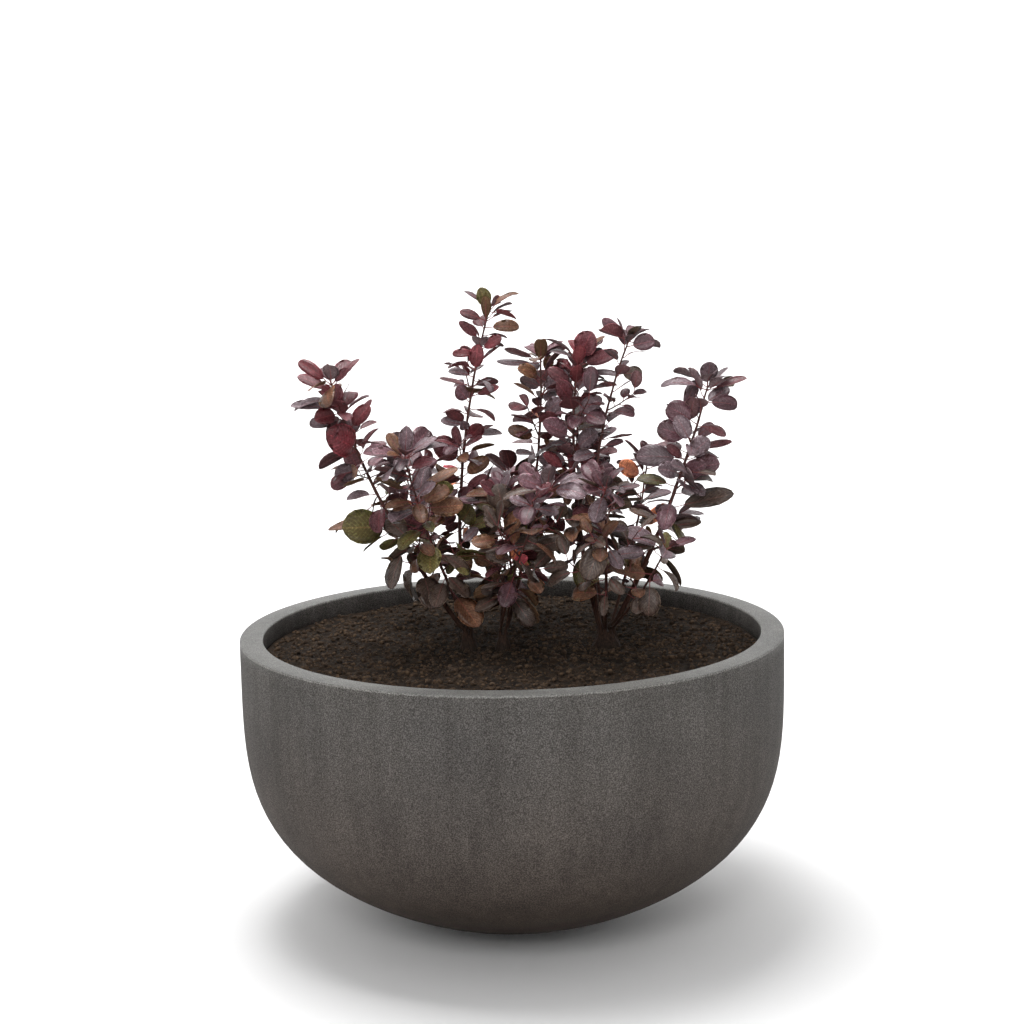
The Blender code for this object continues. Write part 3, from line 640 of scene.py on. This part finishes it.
# The largest and nearest leaves stand where the photograph shows them. Each has its stem, its place
# up the stem, where it points, which way it faces, its length, its width by length and its tint.
VIEWER = (0.0, -0.92, 0.38)
SKY = (0.0, -0.35, 0.94)
HALFWAY = (0.0, -0.70, 0.71)
SHOWN_LEAVES = (
    ("left_long", 0.73, (-0.32, -0.80, 0.45), VIEWER, 0.062, 0.86, "crimson"),
    ("left_long", 0.81, (0.60, -0.15, 0.78), VIEWER, 0.042, 0.62, "crimson"),
    ("left_long", 0.93, (-1.00, -0.10, 0.06), SKY, 0.056, 0.42, "dusky"),
    ("left_long", 0.99, (-0.72, -0.20, 0.66), VIEWER, 0.052, 0.42, "crimson"),
    ("left_long", 0.99, (-0.12, -0.35, 0.93), VIEWER, 0.030, 0.48, "crimson"),
    ("left_long", 0.99, (0.62, -0.45, 0.64), VIEWER, 0.034, 0.44, "wine"),
    ("left_long", 0.90, (-1.00, -0.05, 0.10), HALFWAY, 0.060, 0.34, "dusky"),
    ("left_long", 0.89, (-0.45, -0.35, 0.80), VIEWER, 0.040, 0.55, "crimson"),
    ("left_long", 0.85, (-1.00, -0.20, 0.02), VIEWER, 0.044, 0.50, "dusky"),
    ("left_long", 0.66, (-0.92, -0.30, -0.10), VIEWER, 0.040, 0.80, "dusky"),
    ("left_long", 0.43, (-0.96, -0.45, 0.10), VIEWER, 0.070, 0.86, "olive"),
    ("left_long", 0.47, (-0.96, 0.10, -0.16), SKY, 0.080, 0.40, "bronze"),
    ("left_rosette", 0.99, (0.10, -0.25, 0.95), VIEWER, 0.044, 0.55, "dusky"),
    ("tall", 0.99, (-0.30, -0.35, 0.88), VIEWER, 0.034, 0.74, "olive"),
    ("tall", 0.94, (0.97, -0.25, 0.10), VIEWER, 0.044, 0.50, "bronze"),
    ("tall", 0.99, (0.70, 0.05, 0.71), SKY, 0.046, 0.34, "bronze"),
    ("tall", 0.99, (-0.62, 0.10, 0.78), SKY, 0.042, 0.30, "plum"),
    ("tall", 0.96, (-0.90, -0.20, 0.44), VIEWER, 0.036, 0.48, "wine"),
    ("tall", 0.96, (0.88, 0.25, 0.52), SKY, 0.038, 0.30, "umber"),
    ("tall", 0.90, (-0.62, -0.40, 0.62), VIEWER, 0.040, 0.42, "wine"),
    ("tall", 0.87, (0.70, -0.35, 0.50), VIEWER, 0.034, 0.60, "crimson"),
    ("tall", 0.86, (-0.95, -0.25, 0.12), VIEWER, 0.034, 0.46, "crimson"),
    ("tall", 0.80, (0.10, -0.40, 0.85), VIEWER, 0.040, 0.62, "crimson"),
    ("tall", 0.79, (-0.90, -0.25, 0.35), HALFWAY, 0.034, 0.50, "dusky"),
    ("tall", 0.76, (0.75, -0.20, 0.35), SKY, 0.026, 0.42, "dusky"),
    ("tall", 0.73, (0.92, -0.20, 0.35), VIEWER, 0.038, 0.40, "crimson"),
    ("tall", 0.71, (-0.50, -0.40, 0.75), VIEWER, 0.030, 0.90, "plum"),
    ("tall", 0.64, (-0.92, -0.25, 0.30), HALFWAY, 0.034, 0.60, "dusky"),
    ("tall", 0.62, (-0.10, -0.75, 0.60), VIEWER, 0.030, 0.60, "dusky"),
    ("tall", 0.61, (0.88, -0.15, 0.42), SKY, 0.038, 0.36, "crimson"),
    ("tall", 0.59, (0.35, -0.60, 0.70), VIEWER, 0.034, 0.80, "crimson"),
    ("tall", 0.56, (-0.30, -0.30, 0.90), VIEWER, 0.036, 0.50, "wine"),
    ("tall", 0.52, (-0.66, -0.25, 0.72), VIEWER, 0.050, 0.80, "wine"),
    ("tall", 0.48, (0.62, -0.30, 0.55), VIEWER, 0.044, 0.60, "bronze"),
    ("tall", 0.44, (0.80, -0.20, 0.50), VIEWER, 0.040, 0.42, "wine"),
    ("tall", 0.38, (0.35, -0.40, 0.80), VIEWER, 0.036, 0.90, "wine"),
    ("tall", 0.33, (0.30, -0.60, 0.60), VIEWER, 0.044, 0.90, "olive"),
    ("tall", 0.32, (0.92, -0.30, 0.30), HALFWAY, 0.050, 0.50, "olive"),
    ("tall", 0.25, (-0.45, -0.50, -0.60), VIEWER, 0.034, 0.45, "olive"),
    ("middle_low", 0.86, (-0.15, -0.50, 0.85), VIEWER, 0.046, 0.95, "umber"),
    ("tall", 0.51, (-0.85, -0.30, 0.12), SKY, 0.026, 0.52, "rose"),
    ("centre_tall", 0.98, (-0.98, -0.10, 0.02), SKY, 0.056, 0.48, "dusky"),
    ("centre_thick", 0.98, (0.30, -0.50, 0.70), VIEWER, 0.047, 0.84, "wine"),
    ("centre_thick", 0.96, (0.85, -0.40, 0.34), VIEWER, 0.058, 0.42, "wine"),
    ("centre_thick", 0.92, (0.88, -0.30, 0.20), SKY, 0.056, 0.44, "dusky"),
    ("centre_right", 0.97, (0.95, -0.10, 0.22), VIEWER, 0.036, 0.84, "plum"),
    ("centre_right", 0.88, (0.95, -0.30, 0.05), VIEWER, 0.032, 0.80, "umber"),
    ("centre_tall", 0.92, (-0.75, -0.30, 0.40), VIEWER, 0.040, 0.60, "bronze"),
    ("centre_tall", 0.86, (0.55, -0.45, 0.60), VIEWER, 0.050, 0.62, "dusky"),
    ("centre_tall", 0.78, (0.50, -0.55, 0.50), VIEWER, 0.046, 0.62, "dusky"),
    ("centre_tall", 0.70, (-0.75, -0.40, 0.40), VIEWER, 0.044, 0.55, "bronze"),
    ("centre_thick", 0.88, (-0.62, -0.45, 0.60), VIEWER, 0.046, 0.50, "wine"),
    ("centre_thick", 0.82, (-0.35, -0.60, 0.60), VIEWER, 0.050, 0.60, "wine"),
    ("centre_thick", 0.78, (0.62, -0.50, 0.50), VIEWER, 0.048, 0.60, "dusky"),
    ("centre_thick", 0.70, (-0.62, -0.55, 0.45), VIEWER, 0.054, 0.60, "plum"),
    ("centre_thick", 0.66, (0.50, -0.60, 0.50), VIEWER, 0.048, 0.66, "dusky"),
    ("centre_thick", 0.62, (-0.92, -0.40, 0.10), VIEWER, 0.050, 0.62, "dusky"),
    ("right_long", 0.84, (-0.80, -0.12, 0.60), VIEWER, 0.045, 0.88, "plum"),
    ("right_long", 0.78, (-0.93, -0.15, 0.40), VIEWER, 0.047, 0.84, "plum"),
    ("right_long", 0.76, (-0.34, -0.50, 0.80), VIEWER, 0.044, 0.66, "dusky"),
    ("right_long", 0.74, (0.98, -0.05, 0.15), HALFWAY, 0.054, 0.30, "wine"),
    ("right_long", 0.70, (0.68, -0.35, 0.68), VIEWER, 0.040, 0.80, "dusky"),
    ("right_long", 0.70, (-0.98, -0.20, 0.16), VIEWER, 0.064, 0.60, "dusky"),
    ("right_long", 0.69, (-0.62, -0.50, 0.70), VIEWER, 0.034, 0.48, "wine"),
    ("right_long", 0.66, (0.98, -0.30, 0.16), VIEWER, 0.048, 0.78, "plum"),
    ("right_long", 0.64, (-0.80, -0.45, 0.40), VIEWER, 0.048, 0.60, "dusky"),
    ("right_long", 0.62, (0.62, -0.60, 0.50), VIEWER, 0.044, 0.72, "plum"),
    ("right_long", 0.42, (0.98, -0.10, 0.12), HALFWAY, 0.052, 0.46, "umber"),
    ("right_long", 0.98, (0.96, 0.00, 0.22), SKY, 0.052, 0.50, "wine"),
    ("right_long", 0.98, (-0.92, -0.10, 0.40), SKY, 0.060, 0.50, "dusky"),
    ("right_long", 0.99, (0.08, -0.20, 0.96), VIEWER, 0.034, 0.90, "dusky"),
    ("right_long", 0.93, (0.92, -0.35, 0.02), VIEWER, 0.044, 0.62, "plum"),
    ("right_long", 0.50, (0.98, -0.10, 0.20), HALFWAY, 0.084, 0.46, "umber"),
    ("right_back", 0.90, (-0.80, -0.40, 0.50), VIEWER, 0.044, 0.70, "ember"),
    ("right_front", 0.72, (-0.40, -0.45, -0.80), VIEWER, 0.062, 0.68, "umber"),
    ("right_low", 0.66, (-0.05, -0.35, -0.62), VIEWER, 0.048, 0.80, "umber"),
    ("tall", 0.30, (0.55, -0.75, 0.30), VIEWER, 0.028, 0.66, "ember"),
    ("middle_low", 0.52, (0.72, -0.60, 0.40), VIEWER, 0.026, 0.70, "rose"),
    ("left_rosette", 0.72, (0.98, -0.25, 0.10), VIEWER, 0.056, 0.62, "bronze"),
    ("left_rosette", 0.82, (0.90, 0.10, 0.42), SKY, 0.060, 0.50, "bronze"),
)
TUFT_AXES = {"right_front": (0.05, -0.84, 0.54), "middle_front": (-0.12, -0.62, 0.78)}


def deal(palette, chance):
    """One tint, dealt from a palette by its weights."""
    names = [name for name, _ in SPRAYS[palette]]
    return chance.choices(names, [weight for _, weight in SPRAYS[palette]])[0]


def leaf_direction(axis, bearing, lift):
    """Direction of a leaf or side twig, from its bearing round an axis and its lift, in degrees."""
    across = axis.cross(Vector((0.0, 1.0, 0.0))).normalized()
    other = axis.cross(across).normalized()
    turn = math.radians(bearing)
    rise = math.radians(lift)
    outward = across * math.cos(turn) + other * math.sin(turn)
    return (outward * math.cos(rise) + axis * math.sin(rise)).normalized()


def shown_leaf(name, t, heading, face, blade, width, tint):
    """A leaf that points and faces given ways, told as its turn round the stem, lift and roll."""
    axis = stem_axis(name, t)
    midrib = Vector(heading).normalized()
    across = axis.cross(Vector((0.0, 1.0, 0.0))).normalized()
    other = axis.cross(across).normalized()
    bearing = math.degrees(math.atan2(midrib.dot(other), midrib.dot(across)))
    lift = math.degrees(math.asin(midrib.dot(axis)))
    leaf = Leaf(stem_point(name, t), axis, bearing, lift, blade, 0.0,
                stem_radius(name, t) * LEAF_OUT, tint, width)
    midrib, level, upright = leaf_axes(leaf, 0.0)
    side = Vector(face).cross(midrib).normalized()
    return leaf._replace(roll=math.degrees(math.atan2(side.dot(upright), side.dot(level))))


def palette_at(name, spot, chance):
    """A stem's palette for old leaves near the soil, or the one for young leaves above."""
    low = spot.z - SOIL_TOP < chance.uniform(*LOW_TINTS_END)
    return STEMS[name].low if low else STEMS[name].high


def stem_leaves(name, first, chance):
    """The leaves along a stem and the whorl at its tip."""
    stem = STEMS[name]
    leaves = []
    for i in range(stem.along):
        up = (i + FIRST_LEAF) / (stem.along + FIRST_LEAF)
        t = stem.bare + (1.0 - stem.bare) * up
        bearing = first + i * LEAF_TURN + chance.uniform(-TURN_SPREAD, TURN_SPREAD)
        lift = LIFTS[0] + (LIFTS[1] - LIFTS[0]) * up + chance.uniform(-LIFT_SPREAD, LIFT_SPREAD)
        blade = stem.blade * (1.0 - TIP_SHRINK * up) * chance.uniform(*ALONG_BLADE)
        tint = deal(palette_at(name, stem_point(name, t), chance), chance)
        roll = chance.gauss(0.0, ROLL_SPREAD)
        leaves.append(Leaf(stem_point(name, t), stem_axis(name, t), bearing, lift, blade, roll,
                           stem_radius(name, t) * LEAF_OUT, tint, chance.uniform(*LEAF_WIDTHS)))
    root, axis = stem_point(name, TUFT_PLACE), stem_axis(name, TUFT_PLACE)
    if name in TUFT_AXES:
        axis = Vector(TUFT_AXES[name]).normalized()
    for i in range(stem.tuft):
        bearing = first + i * LEAF_TURN + chance.uniform(-TURN_SPREAD, TURN_SPREAD)
        share = i / (stem.tuft - 1)
        lift = TUFT_LIFTS[0] + (TUFT_LIFTS[1] - TUFT_LIFTS[0]) * share
        lift = lift + chance.uniform(-TUFT_SPREAD, TUFT_SPREAD)
        blade = stem.blade * (TUFT_BLADE[1] + (TUFT_BLADE[0] - TUFT_BLADE[1]) * share)
        roll = chance.gauss(0.0, ROLL_SPREAD)
        leaves.append(Leaf(root, axis, bearing, lift, blade, roll, 0.0005, deal(stem.high, chance),
                           chance.uniform(*LEAF_WIDTHS)))
    return leaves


def side_twig(name, i, first, chance):
    """One side twig of a stem: its points, its radii and the leaves on it."""
    stem = STEMS[name]
    share = (i + SIDE_MARGINS[0]) / (stem.twigs + sum(SIDE_MARGINS))
    t = stem.bare + (1.0 - stem.bare) * share
    bearing = first + (i + 0.3) * SIDE_TURN + chance.uniform(-TURN_SPREAD, TURN_SPREAD)
    reach = SIDE_TWIG_LENGTH * chance.uniform(*SIDE_LENGTHS) * (1.0 - SIDE_TWIG_SHRINK * share)
    out = leaf_direction(stem_axis(name, t), bearing, SIDE_LIFT)
    rise = Vector((0.0, 0.0, SIDE_RISE * reach))
    root = stem_point(name, t)
    points = [root + out * reach * s + rise * s * s for s in spread(0.0, 1.0, 6)]
    heading = (points[-1] - points[-2]).normalized()
    palette = palette_at(name, root, chance)
    main_tint = deal(palette, chance)
    leaves = []
    for place in spread(*SIDE_LEAFY, SIDE_LEAVES):
        bearing = first + len(leaves) * LEAF_TURN + chance.uniform(-TURN_SPREAD, TURN_SPREAD)
        lift = TWIG_LIFTS[0] + (TWIG_LIFTS[1] - TWIG_LIFTS[0]) * place
        blade = stem.blade * chance.uniform(*TWIG_BLADE) * (1.0 - TWIG_BLADE_SHRINK * share)
        tint = main_tint if chance.random() < MAIN_TINT_SHARE else deal(palette, chance)
        spot = root + out * reach * place + rise * place * place
        leaves.append(Leaf(spot, heading, bearing, lift, blade, chance.gauss(0.0, ROLL_SPREAD),
                           0.0006, tint, chance.uniform(*LEAF_WIDTHS)))
    return points, spread(SIDE_TWIG_RADIUS, TWIG_TIP_RADIUS * 0.7, 6), leaves


def leaf_axes(leaf, turn):
    """A leaf's own directions: along its midrib, across it, and out of its upper face."""
    midrib = leaf_direction(leaf.axis, leaf.bearing + turn, leaf.lift)
    up = (leaf.axis * 2.0 + Vector((0.0, 0.0, 1.0))).normalized()
    if abs(midrib.dot(up)) > 0.92:
        up = leaf.axis.cross(Vector((1.0, 0.0, 0.0)))
    level = up.cross(midrib).normalized()
    roll = math.radians(leaf.roll)
    side = level * math.cos(roll) + midrib.cross(level) * math.sin(roll)
    return midrib, side, midrib.cross(side)


def rough_leaf(leaf, turn):
    """A leaf as a few flat faces, a little large, to try whether its place is free."""
    midrib, side, normal = leaf_axes(leaf, turn)
    start = leaf.blade * STALK_SHARE
    wide, late, tip = (start + leaf.blade * k for k in (0.25, 0.80, 1.02))
    half = leaf.width * 0.5
    spots = ((start * 0.6, 0.0, 0.0), (wide, half, 0.05), (late, half, 0.0), (tip, 0.0, -0.12),
             (late, -half, 0.0), (wide, -half, 0.05))
    corners = [leaf.root + midrib * x + side * y * leaf.blade + normal * z * leaf.blade
               for x, y, z in spots]
    return corners, ((0, 1, 5), (1, 2, 5), (2, 4, 5), (2, 3, 4))


# The leaf's template: rows run from its base to its tip and columns from edge to edge. Its upper
# and under faces share the edge, so each leaf is a closed thin body.
LEAF_ROWS = 8
row_places = [(1 - math.cos(math.pi * i / LEAF_ROWS)) / 2 for i in range(LEAF_ROWS + 1)]
template = []
number = {}
for row, s in enumerate(row_places):
    for layer in (1, -1):
        for column in (-2, -1, 0, 1, 2):
            at_end = row in (0, LEAF_ROWS)
            if at_end:
                key = (row, 0, 0)
            elif abs(column) == 2:
                key = (row, column, 0)
            else:
                key = (row, column, layer)
            if key not in number:
                number[key] = len(template)
                template.append((s, 0.0 if at_end else column / 2, 0 if key[2] == 0 else layer))
            number[(row, column, layer, "all")] = number[key]
template = np.array(template)
leaf_faces = []
leaf_upper = []
for row in range(LEAF_ROWS):
    for column in (-2, -1, 0, 1):
        for layer in (1, -1):
            ring = [number[(row, column, layer, "all")], number[(row + 1, column, layer, "all")],
                    number[(row + 1, column + 1, layer, "all")], number[(row, column + 1, layer, "all")]]
            ring = [v for i, v in enumerate(ring) if v != ring[i - 1]]
            if layer == 1:
                ring = ring[::-1]
            leaf_faces.append(ring)
            leaf_upper.append(layer == 1)


def blade_points(spots, length, chance_values):
    """Where a blade's points lie: a round-based outline, folded, cupped, waved and drooping."""
    fold, cup, wave, phase, droop, width = chance_values
    s, v, layer = spots[:, 0], spots[:, 1], spots[:, 2]
    outline = s ** 0.62 * (1 - s) ** 0.54 / (0.534 ** 0.62 * 0.466 ** 0.54)
    half = 0.5 * width * outline
    across = half * v
    rise = fold * np.abs(across) - cup * (across / 0.36) ** 2 * 0.1
    rise = rise + wave * np.sin(phase + s * 11.0 + v * 2.0) * np.abs(v) ** 2 * outline
    thin = 0.0055 * layer * (1 - np.abs(v)) * (0.4 + 0.6 * outline)
    bend = droop * s
    safe = np.where(np.abs(droop) < 0.001, 0.001, droop)
    along = np.sin(bend) / safe
    sink = -(1 - np.cos(bend)) / safe
    x = along + np.sin(bend) * (rise + thin)
    z = sink + np.cos(bend) * (rise + thin)
    return np.stack([x, across, z], 1) * length


# A leaf's mottling and gloss run through the crown, and its veins, its pale midrib and the painted
# highlight along its edge lie on its own map, with s along the midrib and the midrib halfway across.
tint_names = list(TINTS)
leaf_finishes = []
for tint in tint_names:
    for face, colour in zip(("upper", "under"), TINTS[tint]):
        upper = face == "upper"
        finish = new_finish("leaf_" + tint + "_" + face)
        from_leaf_to_leaf = ramp(finish, speckle(finish, 15.0, 1.0), [
            (0.32, (0.58, 0.56, 0.56)), (0.68, (1.52, 1.56, 1.56))])
        mottle = ramp(finish, speckle(finish, 240.0, 4.0), [
            (0.36, (0.56, 0.52, 0.52)), (0.52, (0.94, 0.95, 0.95)), (0.66, (1.80, 2.15, 2.15))])
        blade_map = finish.add("ShaderNodeUVMap", uv_map="blade")
        spot = finish.add("ShaderNodeSeparateXYZ")
        finish.join(blade_map.outputs["UV"], spot.inputs["Vector"])
        aside = calculate(finish, "ABSOLUTE", calculate(finish, "SUBTRACT", spot.outputs["Y"], 0.5))
        slant = calculate(finish, "MULTIPLY_ADD", aside, -0.85, spot.outputs["X"])
        ribs = calculate(finish, "SINE", calculate(finish, "MULTIPLY", slant, 62.0))
        veins = ramp(finish, ribs, [(0.62, (1.0, 1.0, 1.0)), (0.96, (1.60, 1.58, 1.58))])
        # A pale midrib at the centre, and a painted highlight along the leaf's edge.
        pale_midrib_and_edge_highlight = ramp(finish, aside, [
            (0.012, (1.75, 1.55, 1.55)), (0.036, (1.0, 1.0, 1.0)), (0.435, (1.0, 1.0, 1.0)),
            (0.490, (2.80, 2.90, 2.90))])
        shine = 0.62
        if upper:
            shine = ramp(finish, speckle(finish, 260.0, 2.0), [
                (0.35, (0.26, 0.26, 0.26)), (0.65, (0.54, 0.54, 0.54))])
        skin = multiply(finish, colour, from_leaf_to_leaf)
        skin = multiply(finish, skin, mottle, 0.66 if upper else 0.45)
        skin = multiply(finish, multiply(finish, skin, veins), pale_midrib_and_edge_highlight)
        set_skin(finish, skin, shine, 0.42 if upper else 0.20)
        relief(finish, (ribs, 0.22 if upper else 0.35, 0.0006))
        leaf_finishes.append(finish)

stalk_skin = new_finish("leaf_stalk", False)
set_skin(stalk_skin, (0.190, 0.048, 0.048), 0.50, 0.30)

twig_bark = new_finish("young_twig")
skin = ramp(twig_bark, speckle(twig_bark, 300.0, 3.0), [
    (0.35, (0.045, 0.018, 0.016)), (0.65, (0.100, 0.036, 0.030))])
set_skin(twig_bark, skin, 0.60, 0.25)
relief(twig_bark, (speckle(twig_bark, 900.0, 2.0), 0.3, 0.0003))


def limb_tree(runs):
    """A search tree of limbs, each a three-sided tube."""
    corners = []
    faces = []
    for points, radii in runs:
        for i, (point, radius) in enumerate(zip(points, radii)):
            axis = (points[min(i + 1, len(points) - 1)] - points[max(i - 1, 0)]).normalized()
            across = axis.orthogonal().normalized()
            other = axis.cross(across)
            for k in range(3):
                turn = 2 * math.pi * k / 3
                corners.append(point + (across * math.cos(turn) + other * math.sin(turn)) * radius)
            if i:
                base = len(corners) - 6
                for k in range(3):
                    nxt = (k + 1) % 3
                    faces.append((base + k, base + nxt, base + 3 + nxt, base + 3 + k))
    return BVHTree.FromPolygons(corners, faces)


leafy_runs = {}
planned = [(shown[0], shown_leaf(*shown)) for shown in SHOWN_LEAVES]
for name, stem in STEMS.items():
    chance = random.Random("leaves of " + name)
    first = chance.uniform(0.0, 360.0)
    shares = spread(stem.bare - 0.01, 1.0, 30)
    points = []
    radii = []
    for i, t in enumerate(shares):
        wander = noise.noise_vector(Vector((t * 14, stem.tip[0] * 90, stem.tip[1] * 90)))
        points.append(stem_point(name, t) + wander * STEM_WANDER)
        radii.append(stem_radius(name, t) * STEM_NODES[0 if i % 2 else 1])
    leafy_runs[name] = [(points, radii)]
    planned.extend((name, leaf) for leaf in stem_leaves(name, first, chance))
    for i in range(stem.twigs):
        points, radii, leaves = side_twig(name, i, first, chance)
        leafy_runs[name].append((points, radii))
        planned.extend((name, leaf) for leaf in leaves)

stem_trees = {}
for name in STEMS:
    bare_points = [stem_point(name, t) for t in spread(0.0, STEMS[name].bare, 6)]
    bare_radii = [stem_radius(name, t) for t in spread(0.0, STEMS[name].bare, 6)]
    stem_trees[name] = limb_tree([(bare_points, bare_radii)] + leafy_runs[name])

taken = []
taken_centres = np.zeros((0, 3))
placed_leaves = {name: [] for name in STEMS}
for name, leaf in planned:
    others = [stem_trees[other] for other in STEMS if other != name]
    for turn in TRY_TURNS:
        corners, faces = rough_leaf(leaf, turn)
        if min(c.z for c in corners) < LOWEST_LEAF:
            continue
        tree = BVHTree.FromPolygons(corners, faces)
        centre = (corners[0] + corners[3]) / 2
        near = np.nonzero(((taken_centres - np.array(centre)) ** 2).sum(1) < NEAR ** 2)[0]
        if any(tree.overlap(other) for other in others):
            continue
        if any(tree.overlap(taken[i]) for i in near):
            continue
        taken.append(tree)
        taken_centres = np.vstack([taken_centres, np.array(centre)])
        placed_leaves[name].append((leaf, turn))
        break

for side in BASES:
    sharing = [name for name in STEMS if STEMS[name].base == side]
    twigs = round_limbs("twigs_" + side, [run for name in sharing for run in leafy_runs[name]], 1)
    give_finish(twigs, twig_bark)
    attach(twigs, "root")
    chance = random.Random("blades of " + side)
    corners = []
    loops = []
    sizes = []
    finishes = []
    uvs = []
    stalk_runs = []
    count = 0
    spine = np.array([(s, 0.0, 0) for s in spread(0.0, 0.80, 5)])
    for name in sharing:
        for leaf, turn in placed_leaves[name]:
            midrib, across, normal = leaf_axes(leaf, turn)
            shape = (chance.uniform(0.08, 0.55), chance.uniform(0.0, 0.6), chance.uniform(0.0, 0.022),
                     chance.uniform(0, 6.28), chance.uniform(-0.15, 0.95), leaf.width)
            basis = np.array([midrib, across, normal])
            start = np.array(leaf.root + midrib * leaf.blade * STALK_SHARE)
            blade = blade_points(template, leaf.blade, shape) @ basis + start
            corners.append(blade)
            tint = tint_names.index(leaf.tint)
            for face, upper in zip(leaf_faces, leaf_upper):
                loops.extend(v + count for v in face)
                sizes.append(len(face))
                finishes.append(tint * 2 + (0 if upper else 1))
                uvs.extend((template[v][0], 0.5 + 0.5 * template[v][1]) for v in face)
            count += len(template)
            rib = [Vector(p) for p in blade_points(spine, leaf.blade, shape) @ basis + start]
            out = leaf.root + midrib * leaf.out
            sag = normal * (-0.05 * leaf.blade)
            middle = (out + rib[0]) / 2 + sag * 0.4
            stalk_runs.append(([out, middle] + rib, [STALK_RADIUS * k for k in STALK_TAPER]))
    leaves = mesh_from_arrays("leaves_of_" + side, np.concatenate(corners), loops, sizes)
    give_finish(leaves, *leaf_finishes)
    leaves.data.polygons.foreach_set("material_index", np.array(finishes, np.int32))
    leaves.data.polygons.foreach_set("use_smooth", np.ones(len(sizes), bool))
    layer = leaves.data.uv_layers.new(name="blade")
    layer.data.foreach_set("uv", np.array(uvs, np.float32).ravel())
    leaves.data.update()
    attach(leaves, "root")
    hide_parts(*["leaves_" + name for name in sharing])
    stalks = round_limbs("stalks_" + side, stalk_runs, 0)
    give_finish(stalks, stalk_skin)
    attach(stalks, "root")


# The studio
# A plain pale floor that turns up into a round wall far out, an open sky above it, a large soft
# panel overhead and a wide one in front, and the camera at the photograph's place and angle.
FLOOR_REACH = 4.5
WALL_TURN = 1.8
WALL_HEIGHT = 4.2
LENS_MM = 75.66
SENSOR_MM = 36.0
CAMERA_PLACE = (0.004, -3.5, 1.2746)
CAMERA_DIP = 0.1667
CAMERA_ROLL = -0.0193
floor = start_round("studio_floor", 128, FLOOR_REACH, 0.0)
bpy.ops.mesh.select_mode(type="EDGE")
bpy.ops.mesh.select_all(action="DESELECT")
bpy.ops.mesh.select_non_manifold()
radius = FLOOR_REACH
height = 0.0
for i in range(1, 14):
    turn = math.pi / 2 * min(i, 12) / 12
    next_radius = FLOOR_REACH + WALL_TURN * math.sin(turn)
    next_height = WALL_TURN * (1 - math.cos(turn)) if i < 13 else WALL_HEIGHT
    rise = (0, 0, next_height - height)
    bpy.ops.mesh.extrude_edges_move(TRANSFORM_OT_translate={"value": rise})
    share = next_radius / radius
    bpy.ops.transform.resize(value=(share, share, 1), center_override=(0, 0, next_height))
    radius, height = next_radius, next_height
bpy.ops.object.mode_set(mode="OBJECT")
bpy.ops.object.shade_smooth()
paper = new_finish("pale_floor", False)
set_skin(paper, (0.88, 0.88, 0.88), 0.9, 0.5)
give_finish(floor, paper)

world = bpy.data.worlds.new("studio")
bpy.context.scene.world = world
world.use_nodes = True
sky = world.node_tree.nodes["Background"]
sky.inputs["Color"].default_value = (1.0, 1.0, 1.0, 1.0)
sky.inputs["Strength"].default_value = 0.56


def soft_panel(name, place, aim, size, power):
    """A square light panel at a place, turned to shine at a point."""
    lamp = bpy.data.lights.new(name, "AREA")
    lamp.shape = "SQUARE"
    lamp.size = size
    lamp.energy = power
    holder = in_the_scene(name, lamp)
    holder.location = place
    holder.rotation_euler = (Vector(aim) - Vector(place)).to_track_quat("-Z", "Y").to_euler()


soft_panel("overhead", (-0.4, 0.2, 3.4), (0, 0, 0.6), 1.6, 96)
soft_panel("front", (-0.5, -3.6, 2.3), (0, 0, 0.5), 1.2, 42)
soft_panel("on the wall", (0.0, 3.2, 4.0), (0.0, 6.2, 0.9), 3.0, 200)

lens = bpy.data.cameras.new("camera")
lens.sensor_width = SENSOR_MM
lens.lens = LENS_MM
camera = in_the_scene("camera", lens)
camera.matrix_world = (Matrix.Translation(CAMERA_PLACE)
                       @ Matrix.Rotation(math.radians(90) - CAMERA_DIP, 4, "X")
                       @ Matrix.Rotation(CAMERA_ROLL, 4, "Z"))
bpy.context.scene.camera = camera
bpy.context.scene.view_settings.view_transform = "Standard"
